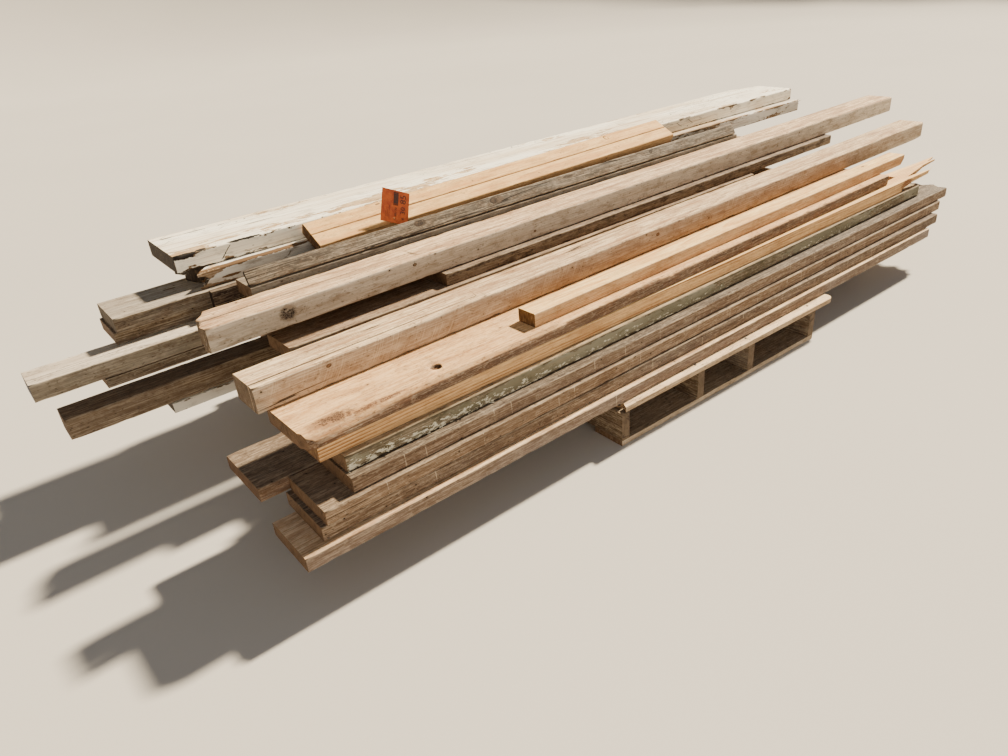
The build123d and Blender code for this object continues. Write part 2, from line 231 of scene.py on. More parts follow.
plainWood = {
    # side and top tones: weathering and sun bleach, plus painted light, each face set lighter or darker for
    # how light fell on it
    "side": ("967c62", "684e38"), "top": ("e2ceb4", "b09476"),  # light, dark
    # end tones: dark end grain, darkened further as painted shade on the end faces
    "end": "664e38", "endDark": "302218",
    "grey": "8e8880", "greyed": 0.25,
    "ring": 0.0045, "pith": (0.5, -1.6), "waver": 0.005, "rings": 0.5,
    "fibre": 0.6, "specks": 0.45, "blotch": 0.4, "blotchTone": "584432",
    "dull": 0.45, "checks": 0.15, "checkTone": "221a14",
    "knots": 0.10, "knotSize": 0.010, "knotTone": "704e34", "barkTone": "221a15",
    "nails": 0.0, "nailSpace": 0.08, "nailSize": 0.0026,
    "stainTone": "503a2a", "holeTone": "0e0a08",
    "lines": 0.0, "lineSpace": 0.13, "saw": 0.0,
    "wear": 0.25, "wearTone": "d6c4a8", "grit": 0.36, "shadeTone": "140e0a",
    "rows": None, "along": None,
    "paint": None, "spots": (), "scars": (),
}

plainPaint = {"edgeLoss": 0.1, "topLoss": 0.0, "startLoss": 0.0, "endLoss": 0.6, "streaks": 0.3, "chips": (),
              "flecks": None}

# tightness along and across the board, detail, roughness, share of the board's shift, start across and up
noiseLayers = {
    "heartAcross": (0.7, 2.0, 1, 0.5, 1, 0, 0), "heartUp": (0.6, 2.0, 1, 0.5, -1, 9.0, 0),
    "ripple": (4.0, 30.0, 2, 0.5, 1, 0, 0), "ragged": (130.0, 130.0, 3, 0.6, 0, 0, 0),
    "ringFade": (1.1, 18.0, 2, 0.5, 1, 0, 0), "fibre": (8.0, 290.0, 2, 0.7, 1, 0, 0),
    "streak": (2.2, 110.0, 2, 0.65, -1, 0, 0), "patch": (1.9, 9.0, 2, 0.6, 1, 0, 4.0),
    "blotch": (14.0, 44.0, 4, 0.72, -1, 0, 2.0), "speck": (85.0, 210.0, 1, 0.6, -1, 0, 0),
    "dull": (4.5, 24.0, 3, 0.65, 1, 0, 0), "grit": (48.0, 150.0, 2, 0.85, 1, 0, 0),
    "checkLines": (0.55, 26.0, 1.6, 0.5, 1.7, 0, 0), "checkPlaces": (1.1, 5.0, 1, 0.5, -1, 0, 0),
    "chip": (15.0, 52.0, 4, 0.66, 1, 0, 0), "broad": (2.2, 9.0, 2, 0.5, -1, 0, 0),
    "fleck": (42.0, 120.0, 4, 0.7, 1, 0, 0),
}


class Wood:
    # one board's finish: masks in the board's own axes, then the colour laid on in layers
    def __init__(self, node, look):
        self.look = look
        self.web = web = Web("wood_" + node)
        self.place = boardFrame(node, look["along"])
        width, self.thick = self.place["size"].yz
        local = web.node("ShaderNodeMapping", {"vector_type": "TEXTURE"},
                         {"Vector": web.objectPlace(), "Location": self.place["corner"],
                          "Rotation": self.place["turn"].to_euler("XYZ")})
        split = web.node("ShaderNodeSeparateXYZ", {}, {0: local.outputs[0]})
        self.x, self.wide, self.deep = (Val(web, split.outputs[i]) for i in range(3))
        board = 0.0
        if look["rows"]:  # several boards in one node: each gets its own grain
            pitch, start = look["rows"]
            board = web.math("FLOOR", (self.wide - start) / pitch)
        self.shift = board * 7.31 + look["seed"] * 3.17
        self.tint = web.chance(board + look["seed"] * 1.37) - 0.5
        self.normal = web.node("ShaderNodeNewGeometry").outputs["Normal"]
        up = self.facing("up")
        self.top = web.step(up, 0.45, 0.8)
        self.flat = web.step(web.size(up), 0.55, 0.8)
        self.end = web.step(web.size(self.facing("along")), 0.5, 0.75)
        self.onSide = (1.0 - self.flat) * (1.0 - self.end)
        self.front = web.step(up, -0.5, -0.3) * web.step(self.facing("across"), 0.5, 0.3)
        self.faceU = web.blend(self.flat, self.deep, self.wide)
        self.around = self.wide + self.deep - self.thick  # from the front side over the arris to the top
        self.rim = web.high(web.low(self.wide, width - self.wide), web.low(self.deep, self.thick - self.deep))
        self.heartAway = (self.wide - width * look["pith"][0], self.deep - self.thick * look["pith"][1])
        self.ragged = (self.noise("ragged") - 0.5) * 0.7
        self.blotch = self.noise("blotch")
        self.rough = 0.8 + (self.blotch - 0.5) * 0.2

    def facing(self, axis):
        made = self.web.node("ShaderNodeVectorMath", {"operation": "DOT_PRODUCT"},
                             {0: self.normal, 1: tuple(self.place[axis])})
        return Val(self.web, made.outputs["Value"])

    def noise(self, layer):
        along, across, detail, rough, share, startAcross, startUp = noiseLayers[layer]
        spot = self.web.vector(self.x * along + self.shift * share, self.wide * across + startAcross,
                               self.deep * across + startUp)
        return self.web.noise(spot, detail, rough)

    def lay(self, factor, hue):
        self.colour = self.web.mix(factor, self.colour, hue)

    def findKnots(self):
        # knots by chance, and those at the places in spots
        web, look = self.web, self.look
        field, chance = web.cells(web.vector(self.x * 2.6 + self.shift,
                                             self.faceU * 9.0 + self.flat * 5.3 + self.shift, 0.0))
        inKnot = web.math("LESS_THAN", chance, look["knots"]) * (1.0 - self.end)
        self.near = field / (look["knotSize"] * 6.0) + (1.0 - inKnot) * 9.0
        for spotX, spotU, spotSize, onTop in look["spots"]:
            away = web.reach((self.x - spotX) / (spotSize * 1.5), (self.faceU - spotU) / spotSize)
            elsewhere = 1.0 - (self.top if onTop else 1.0 - self.flat)
            self.near = web.low(self.near, away + elsewhere * 9.0)
        self.knot = 1.0 - web.step(self.near + self.ragged * 0.4, 0.72, 0.86)
        self.bark = self.knot * web.step(self.near + self.ragged, 0.42, 0.62)

    def growRings(self):
        # rings round a heart that wanders along the board, pushed aside by the knots
        web, look = self.web, self.look
        ringY = self.heartAway[0] + (self.noise("heartAcross") - 0.5) * look["waver"] * 12
        ringZ = self.heartAway[1] + (self.noise("heartUp") - 0.5) * look["waver"] * 12
        self.angle = web.math("ARCTAN2", ringY, ringZ)
        self.ripple = self.noise("ripple") - 0.5
        halo = 1.0 - web.step(self.near, 0.5, 3.2)
        self.radius = web.reach(ringY, ringZ) + self.ripple * look["waver"] * 0.7
        self.radius = self.radius + halo * halo * look["ring"] * 2.6
        late = web.math("FRACT", self.radius / look["ring"])
        late = late * late * (1.0 - web.step(late, 0.9, 1.0))
        self.late = late * web.step(self.noise("ringFade"), 0.3, 0.62)

    def layGrain(self):
        # grain, fine fibre, grey weather, blotches, specks, grit and worn arrises, over top and side tones
        # that hold painted light as well as weathering
        web, look, top = self.web, self.look, self.top
        fibre = self.noise("fibre")
        self.streak = self.noise("streak")
        self.patch = self.noise("patch")
        grain = web.low(self.late * look["rings"] + web.step(self.streak, 0.46, 0.68) * look["fibre"], 1.0)
        # the top tones and the side tones: partly weathering, partly painted light for lit tops and shaded
        # sides
        self.colour = web.mix(top, web.mix(grain, *look["side"]),
                              web.mix(grain, *look["top"]))
        deepTone = web.mix(top, look["side"][1], look["top"][1])
        self.lay(web.step(fibre, 0.40, 0.66) * look["fibre"] * 1.1, deepTone)
        self.lay(web.step(fibre, 0.56, 0.36) * look["fibre"] * 0.4, look["wearTone"])
        self.lay(web.step(self.patch, 0.38, 0.72) * look["greyed"] * (1.0 - top * 0.4), look["grey"])
        self.lay(web.step(self.noise("dull"), 0.46, 0.68) * look["dull"], deepTone)
        blotched = web.step(self.blotch, 0.46, 0.66) * look["blotch"] * 1.3
        self.lay(blotched * (1.0 - top * 0.25), look["blotchTone"])
        specked = web.step(self.noise("speck"), 0.60, 0.70) * web.step(self.blotch, 0.34, 0.56)
        self.lay(specked * look["specks"] * 1.4, look["checkTone"])
        grit = self.noise("grit")
        self.lay(web.step(grit, 0.50, 0.64) * look["grit"], deepTone)
        self.lay(web.step(grit, 0.47, 0.35) * look["grit"] * 0.45, look["wearTone"])
        if not look["rows"]:
            # worn arrises: pale on most boards; in the battens' look the tone is dark, painted shadow in the
            # groove between them
            worn = 1.0 - web.step(self.rim + (self.blotch - 0.5) * 0.014, 0.0005, 0.004)
            self.lay(worn * look["wear"] * (1.0 - self.end), look["wearTone"])
        shaded = web.mix(0.08, self.colour, look["shadeTone"])
        self.colour = web.mix(0.5 + self.tint * 0.7, shaded, self.colour)
        self.height = (fibre - 0.5) * look["fibre"] * 0.8 - self.blotch * 0.9

    def laySawMarks(self):
        # arcs of the circular saw
        web, x, wide, deep = self.web, self.x, self.wide, self.deep
        arc = x - deep * 0.9 + deep * deep * 5.0
        kerf = web.noise(web.vector(arc * 230.0 + self.shift, wide * 4.0, deep * 3.0), 2, 0.6)
        patchy = web.noise(web.vector(x * 5.0 + self.shift, wide * 9.0, deep * 16.0), 2, 0.5)
        cut = web.step(kerf, 0.5, 0.64) * web.step(patchy, 0.42, 0.62) * self.onSide
        self.lay(cut * self.look["saw"], self.look["wearTone"])

    def layPaleLines(self):
        # thin pale lines across a side
        web, look = self.web, self.look
        count = self.x / look["lineSpace"] + self.deep * 0.4 + self.shift
        cell = web.math("FLOOR", count)
        spot = web.math("FRACT", count) - 0.15 - web.chance(cell + look["seed"]) * 0.7
        line = (1.0 - web.step(web.size(spot), 0.004, 0.010)) * self.onSide
        line = line * web.step(self.blotch, 0.62, 0.40)
        line = line * web.math("LESS_THAN", web.chance(cell + look["seed"] * 2.0), look["lines"])
        self.lay(line * 0.65, look["wearTone"])

    def layEndGrain(self):
        # dark end grain, darkened further as painted shade, with the rings, saw fuzz and cracks that run out
        # from the heart
        web, look = self.web, self.look
        outwards = web.vector(self.angle * 30.0, self.radius * 18.0 + self.shift, self.x * 2.0)
        spokes = web.noise(outwards, 3, 0.6)
        fuzz = web.noise(web.vector(self.x * 30.0, self.wide * 260.0, self.deep * 60.0), 3, 0.6)
        endTone = web.mix(self.late * 0.5, look["end"], look["endDark"])
        endTone = web.mix(web.step(spokes, 0.57, 0.63) * 0.75, endTone, look["endDark"])
        endTone = web.mix(web.step(self.blotch, 0.42, 0.66) * 0.5, endTone, look["endDark"])
        endTone = web.mix(web.step(fuzz, 0.5, 0.75) * 0.3, endTone, look["side"][0])
        self.lay(self.end, endTone)

    def findChecks(self):
        # drying checks: long thin contour lines of a stretched noise
        web, rarity = self.web, 0.72 - self.look["checks"] * 0.3
        self.where = self.noise("checkPlaces")
        check = 1.0 - web.step(web.size(self.noise("checkLines") - 0.5), 0.003, 0.009)
        self.check = check * web.step(self.where, rarity, rarity + 0.04) * (1.0 - self.end)

    def layPaint(self, paint):
        # old paint, worn off the arrises, lost in noisy patches and chipped at the places in chips
        web, top = self.web, self.top
        chip, broad = self.noise("chip"), self.noise("broad")
        nearArris = 1.0 - web.step(self.rim, 0.001, 0.010)
        cover = chip * 0.5 + broad * 0.6 - nearArris * paint["edgeLoss"] - self.flat * paint["topLoss"]
        cover = cover - (1.0 - web.step(self.x, 0.02, 0.14)) * paint["startLoss"]
        cover = cover - self.end * paint["endLoss"]
        gone = 0.0
        for chipX, chipU, chipLong, chipWide, skew in paint["chips"]:
            du = self.around - chipU
            dx = (self.x - chipX - du * skew + self.ragged * 0.010) / chipLong
            away = web.reach(dx, du / chipWide) + self.ragged * 0.8 + (chip - 0.5) * 1.2
            gone = web.high(gone, (1.0 - web.step(away, 0.85, 0.95)) * self.front)
        painted = web.step(cover, paint["loss"], paint["loss"] + 0.012) * (1.0 - gone)
        self.lay(web.high(nearArris * (1.0 - top * 0.5), gone), paint["chipTone"])
        coat = web.mix(web.step(self.patch, 0.35, 0.7), paint["tone"], paint["shade"])
        coat = web.mix(web.step(self.streak, 0.5, 0.68) * paint["streaks"], coat, self.look["top"][1])
        coat = web.mix(web.step(self.blotch, 0.5, 0.72) * paint["grime"], coat, self.look["blotchTone"])
        crack = web.cracks(web.vector(self.x * 9.0 + self.shift, self.faceU * 85.0 + self.ripple * 3.0, 0.0))
        cracked = (1.0 - web.step(crack, 0.008, 0.035)) * web.step(self.where, 0.5, 0.58)
        self.lay(painted, web.mix(cracked * 0.8, coat, paint["chipTone"]))
        if paint["flecks"]:
            self.layFlecks(paint, broad)
        self.rough = web.blend(painted, self.rough, 0.6)
        self.height = web.blend(painted, self.height, 0.55 - self.blotch * 0.3)

    def layFlecks(self, paint, broad):
        # an older pale coat, left in thick flakes near the left end
        web = self.web
        density = (1.0 - web.step(self.x, *paint["flecks"])) * 0.12 + broad * 0.3
        density = density - web.step(self.deep, self.thick * 0.40, self.thick * 0.85) * 0.16
        self.lay(web.step(self.noise("fleck") + density, 0.73, 0.77) * self.onSide, paint["fleckTone"])

    def layKnots(self, strength):
        # a brown heart with a black bark line
        web, look = self.web, self.look
        rings = web.step(web.math("FRACT", self.near * 3.5), 0.4, 1.0)
        knotTone = web.mix(rings * 0.5, look["knotTone"], look["side"][1])
        self.lay(self.knot * strength, web.mix(self.bark * 0.9, knotTone, look["barkTone"]))

    def layScars(self):
        # crackled dark patches
        web = self.web
        for scarX, scarU, scarLong, scarWide, scarTone in self.look["scars"]:
            away = web.reach((self.x - scarX) / scarLong, (self.around - scarU) / scarWide)
            away = away + self.ragged * 1.2 + (self.blotch - 0.5) * 1.6
            inside = (1.0 - web.step(away, 0.5, 1.0)) * self.front
            crackle = web.cracks(web.vector(self.x * 130.0, self.around * 130.0 + self.ragged, 0.0))
            self.lay(inside * 0.6, self.look["blotchTone"])
            black = inside * web.step(self.blotch + self.ragged * 0.6, 0.42, 0.50)
            self.lay(black * web.step(crackle, 0.0, 0.08) * 0.9, scarTone)

    def layNailHoles(self):
        web, look, size = self.web, self.look, self.look["nailSize"]
        places = web.vector(self.x / look["nailSpace"] + self.shift,
                            self.faceU / look["nailSpace"] * 1.3 + self.flat * 3.7, 0.0)
        hole, luck = web.cells(places)
        inHole = web.math("LESS_THAN", luck, look["nails"]) * (1.0 - self.end)
        spot = hole * look["nailSpace"] + self.ragged * 0.0012
        self.lay((1.0 - web.step(spot, size, size * 3.2)) * inHole * 0.4, look["stainTone"])
        self.lay((1.0 - web.step(spot, size * 0.75, size)) * inHole, look["holeTone"])


def woodMaterial(node, look):
    # spots: along, up the face, size, on top; scars: along, round the front arris, length, width, tone
    look = tone({**plainWood, **look})
    wood = Wood(node, look)
    wood.findKnots()
    wood.growRings()
    wood.layGrain()
    if look["saw"]:
        wood.laySawMarks()
    if look["lines"]:
        wood.layPaleLines()
    wood.layEndGrain()
    wood.findChecks()
    if look["paint"]:
        wood.layPaint({**plainPaint, **look["paint"]})
    wood.layKnots(0.5 if look["paint"] else 0.95)
    wood.layScars()
    wood.lay(wood.check * 0.9, look["checkTone"])
    wood.height = wood.height - wood.check * 1.6
    if look["nails"]:
        wood.layNailHoles()
    dress(node, wood.web.finish(wood.colour, wood.rough, wood.height))


def dressAll(stage, looks):
    for node, look in looks.items():
        woodMaterial(node, look)
    print(stage, "dressed")


greenPaint = {
    "tone": "847f6c", "shade": "645e4a", "loss": 0.5, "edgeLoss": 0.10, "grime": 0.8, "topLoss": 0.3,
    "chipTone": "3c3222", "flecks": (0.10, 0.75), "fleckTone": "cecab4",
}
frontColumn = {
    "front_plank_1": {"seed": 1, "side": ("806d5e", "584434"), "top": ("f2d2a8", "96704e"),
        "grey": "928a88", "greyed": 0.5, "nails": 0.15, "end": "604832", "specks": 0.2, "rings": 0.35,
        "lines": 0.2},
    # front_plank_2 to front_plank_4: dark top tones and front_plank_4's low wear are painted shade on the
    # ledges under the boards above
    "front_plank_2": {"seed": 2, "side": ("705a46", "463325"), "greyed": 0.3, "nails": 0.45, "checks": 0.6,
        "pith": (0.3, 2.4), "specks": 0.6, "lines": 0.35, "top": ("745e4a", "503e30")},
    "front_plank_3": {"seed": 3, "side": ("846a51", "5a422e"), "greyed": 0.12, "nails": 0.6,
        "nailSpace": 0.07, "lines": 0.6, "knots": 0.05, "blotch": 0.3, "top": ("806a54", "584636")},
    "front_plank_4": {"seed": 4, "side": ("806853", "543e2d"), "greyed": 0.2, "nails": 0.5, "lines": 0.6,
        "knots": 0.05, "top": ("544538", "3a2d22"), "wear": 0.12},
    "green_plank": {"seed": 5, "side": ("7a6c54", "4e4230"), "top": ("bea684", "8c7454"), "greyed": 0.3,
        "blotch": 0.5, "blotchTone": "48422a", "paint": greenPaint},
    "tan_plank": {"seed": 6, "side": ("d8b07c", "88582e"), "top": ("fcd698", "c8945c"), "ring": 0.0060,
        "rings": 2.4, "greyed": 0.0, "blotch": 0.12, "fibre": 0.3, "grit": 0.25, "knots": 0.0,
        "specks": 0.1, "checks": 0.0, "pith": (1.6, 4.5), "waver": 0.003, "end": "684a2c",
        "endDark": "3a2616", "wearTone": "e8c896", "scars": ((2.56, -0.018, 0.05, 0.03, "784622"),)},
    "broken_plank": {"seed": 7, "side": ("8c6e50", "60442e"), "nails": 0.3, "specks": 0.5},
    "waney_plank": {"seed": 8, "side": ("644832", "3e291b"), "top": ("ecc086", "a06c40"), "greyed": 0.05,
        "knots": 0.12, "knotSize": 0.006, "rings": 0.3, "fibre": 0.4, "blotch": 0.35, "specks": 0.4,
        "blotchTone": "78543a", "nails": 0.1, "spots": ((0.375, 0.052, 0.013, True),),
        "scars": ((0.085, 0.030, 0.075, 0.026, "462c1c"), (0.19, 0.016, 0.09, 0.010, "603e28"))},
    "short_yellow_board": {"seed": 9, "side": ("cea87a", "92643c"), "top": ("ffdc96", "c68846"),
        "greyed": 0.0, "blotch": 0.2, "fibre": 0.35, "checks": 0.0, "rings": 0.9, "grit": 0.3,
        "specks": 0.2, "knots": 0.06, "knotSize": 0.007, "end": "6a4c2a"},
    # second_row_plank: its dark top tone is painted shade from the boards above
    "second_row_plank": {"seed": 10, "side": ("704e32", "4c3220"), "top": ("766250", "503e2e"),
        "nails": 0.2, "end": "5a402a", "rings": 0.3},
}
dressAll("front column", frontColumn)

beams = {
    "front_timber": {"seed": 11, "side": ("c4b29a", "967e66"), "top": ("fcdeb0", "966e4a"), "greyed": 0.2,
        "grey": "a0968c", "ring": 0.0068, "pith": (0.7, -1.1), "waver": 0.010, "rings": 0.6, "fibre": 0.7,
        "dull": 0.6, "checks": 0.5, "saw": 0.45, "end": "645240", "endDark": "32261c", "knots": 0.0,
        "blotchTone": "7c624a", "nails": 0.12, "wear": 0.15,
        "spots": ((0.185, 0.050, 0.006, False), (1.35, 0.045, 0.007, False))},
    # inner_plank: dark top tone, painted shade under the beams
    "inner_plank": {"seed": 12, "side": ("a0866a", "705640"), "top": ("967a5e", "624832"), "specks": 0.5},
    "dark_plank": {"seed": 13, "side": ("ac9274", "564230"), "top": ("78604a", "503c2c"), "blotch": 0.6,
        "blotchTone": "3e3022", "specks": 0.5},
    "rear_timber": {"seed": 14, "side": ("eadcc6", "bca78e"), "top": ("fad8ac", "926a48"), "greyed": 0.25,
        "ring": 0.0064, "pith": (0.4, -0.9), "waver": 0.009, "rings": 0.55, "fibre": 0.7, "checks": 0.45,
        "saw": 0.35, "knots": 0.0, "dull": 0.6, "end": "685744", "blotchTone": "786048", "nails": 0.12,
        "wear": 0.15, "spots": ((1.085, 0.025, 0.005, False), (0.62, 0.05, 0.006, False)),
        "scars": ((0.22, -0.030, 0.030, 0.026, "1e1a18"),)},
}
dressAll("beams", beams)

whiteWood = {
    "side": ("967c5e", "6e543a"), "top": ("e8cca2", "a47e56"), "greyed": 0.3, "checks": 0.2, "blotch": 0.4,
    "end": "2c2118", "endDark": "140e0a", "knots": 0.05,
}
newBatten = {
    "side": ("deb684", "a87c50"), "top": ("ffd48e", "c88a4c"), "greyed": 0.0, "blotch": 0.25, "fibre": 0.4,
    "checks": 0.0, "end": "5c422a", "endDark": "342418", "knots": 0.12, "knotSize": 0.005, "ring": 0.0052,
    # the dark wearTone darkens fibre and grit flecks and, with the heavy wear, the arrises: painted shadow in
    # the groove between the two battens
    "rings": 0.4, "specks": 0.2, "nails": 0.2, "nailSize": 0.0018, "wear": 0.75, "wearTone": "684628",
}
whitePaint = {
    "tone": "fffae8", "shade": "e8dac0", "streaks": 0.55, "loss": 0.455, "edgeLoss": 0.05, "grime": 0.4,
    "topLoss": 0.0, "startLoss": 0.03, "chipTone": "221c17", "chips": ((0.024, -0.002, 0.036, 0.013, 0.0),
        (0.079, 0.006, 0.014, 0.007, 0.0), (0.200, 0.002, 0.062, 0.0075, 0.0),
        (0.126, 0.199, 0.040, 0.0032, 0.0), (0.041, 0.198, 0.022, 0.0045, 0.0),
        (0.210, 0.198, 0.014, 0.0028, 0.0), (0.143, -0.025, 0.0020, 0.022, 0.95),
        (0.42, -0.012, 0.010, 0.003, 0.0), (0.30, 0.13, 0.05, 0.003, 3.0)),
}
lowerPaint = {
    "tone": "e4e0d6", "shade": "c4bcae", "loss": 0.47, "edgeLoss": 0.12, "grime": 0.5, "topLoss": 0.02,
    "startLoss": 0.05, "chipTone": "62482e", "chips": ((0.20, 0.008, 0.24, 0.014, 0.0),
        (0.10, -0.030, 0.03, 0.004, 0.0)),
}
backColumn = {
    "upper_white_plank": {**whiteWood, "seed": 15, "paint": whitePaint},
    "lower_white_plank": {**whiteWood, "seed": 16, "paint": lowerPaint},
    "grey_board": {"seed": 17, "side": ("9e9486", "7a7064"), "top": ("807466", "605446"), "greyed": 0.6,
        "grey": "78746e", "rings": 0.3, "nails": 0.1, "wear": 0.1, "knots": 0.0},
    "leaning_batten": {"seed": 18, "side": ("867a6b", "3e352c"), "top": ("a69886", "645646"),
        "greyed": 0.35, "grey": "96928a", "ring": 0.0050, "rings": 0.95, "pith": (3.0, 1.9), "waver": 0.006,
        "knots": 0.0, "fibre": 0.7, "dull": 0.7, "knotTone": "463a2f", "checks": 0.75, "end": "1e1814",
        "endDark": "120e0b", "spots": ((0.56, 0.028, 0.012, False), (0.86, 0.028, 0.013, False),
            (1.64, 0.030, 0.008, False)), "scars": ((0.57, -0.016, 0.024, 0.015, "2c251f"),
            (0.875, -0.015, 0.030, 0.017, "2c251f"), (1.20, -0.012, 0.040, 0.008, "382f27"))},
    "new_batten_front": {**newBatten, "seed": 19},
    "new_batten_back": {**newBatten, "seed": 20},
    "dark_strip": {"seed": 32, "side": ("3a241a", "22140f"), "top": ("503a2a", "2c1e16"), "end": "22140f",
        "endDark": "120b08", "greyed": 0.0, "wear": 0.05, "knots": 0.0},
}
dressAll("back", backColumn)

leftThin = {
    "side": ("5c4c3a", "3e3125"), "grit": 0.25, "top": ("78624c", "544230"), "greyed": 0.3, "specks": 0.5,
}
lowWhitePaint = {
    "tone": "e8e2d4", "shade": "ccc2b2", "loss": 0.42, "edgeLoss": 0.10, "grime": 0.4, "chipTone": "544230",
}
leftSide = {
    # left_plank: the dark side tone is partly painted shade under the planks above
    "left_plank": {"seed": 21, "side": ("5c4e3d", "3c3025"), "grit": 0.2, "top": ("aaa092", "7e7262"),
        "greyed": 0.4, "nails": 0.25, "end": "564c40"},
    "left_thin_plank": {**leftThin, "seed": 22},
    "left_beam": {"seed": 23, "side": ("948874", "685d4e"), "grit": 0.2, "top": ("dcd0be", "aa9a86"),
        "greyed": 0.5, "checks": 0.5, "end": "3e4254", "endDark": "1e1e26"},
    "left_thin_strip": {**leftThin, "seed": 24},
    # low_beam: the dark side and top tones are partly painted shade under the stack
    "low_beam": {"seed": 25, "side": ("7a654c", "544230"), "grit": 0.2, "top": ("745c44", "4c3928"),
        "greyed": 0.15, "end": "543c26"},
    "low_white_board": {**whiteWood, "seed": 26, "paint": lowWhitePaint},
}
dressAll("left side", leftSide)

palletAndMiddle = {
    "pallet_deck_boards": {"seed": 27, "side": ("b8a082", "90765a"), "top": ("f8deba", "ceaa82"),
        "greyed": 0.15, "rows": (0.1857, -0.03), "end": "967858", "knots": 0.08},
    # pallet_stringers: the dark side tone is partly painted shade under the deck
    "pallet_stringers": {"seed": 28, "side": ("62503d", "423224"), "top": ("8c765c", "624e3a"),
        "greyed": 0.25, "end": "645442", "endDark": "2e2117", "nails": 0.15, "along": (0, 1, 0),
        "rows": (0.15, 0.0)},
    "pallet_bottom_boards": {"seed": 29, "side": ("beab92", "8e7a62"), "greyed": 0.3,
        "top": ("96826a", "685642"), "rows": (0.5545, -0.02)},
    "hidden_planks_odd": {"seed": 30, "side": ("605041", "3e3126"), "top": ("967e64", "68523c"),
        "greyed": 0.35, "nails": 0.15, "end": "5c4632"},
    "hidden_planks_even": {"seed": 31, "side": ("b89a74", "866b4e"), "top": ("aa9274", "786048"),
        "greyed": 0.25, "nails": 0.1, "end": "6e563e"},
}
dressAll("pallet and middle", palletAndMiddle)


tagLook = {
    # the card tones are darker than the card's own orange: painted shade over the whole tag
    "card": tone("863800"), "cardDark": tone("6c2000"), "fibre": tone("fa9654"),
    "ink": tone("240a04"), "lift": 0.00025,
    # bars: left, low, right, high, and digits: size, left, low, all as shares of the card
    "bars": ((0.425, 0.60, 0.60, 0.90), (0.42, 0.55, 0.60, 0.565), (0.42, 0.575, 0.60, 0.59),
             (0.42, 0.91, 0.60, 0.93), (0.42, 0.94, 0.60, 0.95), (0.28, 0.12, 0.292, 0.52),
             (0.215, 0.14, 0.227, 0.36), (0.165, 0.16, 0.177, 0.32)),
    "digits": (("85", 0.30, 0.875, 0.62), ("48170", 0.115, 0.56, 0.20), ("30", 0.24, 0.86, 0.30),
               ("6", 0.14, 0.83, 0.14)),
}


def tagMaterial():
    web = Web("orange_card")
    texture = web.objectPlace()
    mottle = web.noise(texture, 4, 0.6, 55.0)
    fine = web.noise(texture, 3, 0.6, 900.0)
    colour = web.mix(web.step(mottle, 0.35, 0.7), tagLook["card"], tagLook["cardDark"])
    colour = web.mix(web.step(fine, 0.5, 0.8) * 0.2, colour, tagLook["fibre"])
    return web.finish(colour, 0.55, fine * 0.3 + mottle * 0.6, 0.0004)


def inkMaterial():
    web = Web("tag_ink")
    worn = web.noise(web.objectPlace(), 3, 0.7, 420.0)
    colour = web.mix(web.step(worn, 0.5, 0.75) * 0.4, tagLook["ink"], tagLook["cardDark"])
    return web.finish(colour, 0.6, worn * 0.1, 0.0001)


def tagPrint():
    # plain numbers and bars, the numbers turned a quarter turn, just in front of the card
    place = boardFrame("lot_tag")
    wide, thick, tall = place["size"]
    shape = bmesh.new()
    for left, low, right, high in tagLook["bars"]:
        corners = ((left, low), (right, low), (right, high), (left, high))
        shape.faces.new([shape.verts.new((u * wide, v * tall, 0)) for u, v in corners])
    for words, size, left, low in tagLook["digits"]:
        curve = bpy.data.curves.new("digits", "FONT")
        curve.body = words
        curve.size = size * wide
        curve.resolution_u = 2
        text = addObject("digits", curve)
        flat = asDrawn(text)
        quarter = Matrix.Rotation(math.pi / 2, 4, "Z")
        flat.transform(Matrix.Translation((left * wide, low * tall, 0)) @ quarter)
        shape.from_mesh(flat)
        bpy.data.objects.remove(text)
        bpy.data.meshes.remove(flat)
    mesh = asMesh("tag_print", shape)
    turn = Matrix((place["along"], place["up"], -place["across"])).transposed()
    seat = place["corner"] - place["across"] * tagLook["lift"]
    mesh.transform(Matrix.Translation(seat) @ turn.to_4x4())
    mesh.materials.append(inkMaterial())
    addPiece("tag_print", mesh)


dress("lot_tag", tagMaterial())
tagPrint()
print("tag dressed")


wear = {"step": 0.022, "band": 0.009, "depth": 0.0016, "nick": 0.0026, "nickFrom": 0.25, "sharpDegrees": 32,
        "sameSpot": 1e-6}
wearOf = {"front_plank_1": 1.0, "front_plank_2": 0.8, "front_plank_3": 0.8, "front_plank_4": 0.8,
          "green_plank": 1.0, "waney_plank": 1.0, "second_row_plank": 0.8, "front_timber": 1.4,
          "rear_timber": 1.4, "inner_plank": 0.8, "dark_plank": 1.0, "upper_white_plank": 1.0,
          "lower_white_plank": 1.0, "leaning_batten": 1.0, "left_plank": 1.0, "left_beam": 1.0,
          "low_beam": 1.0, "broken_plank": 1.0}


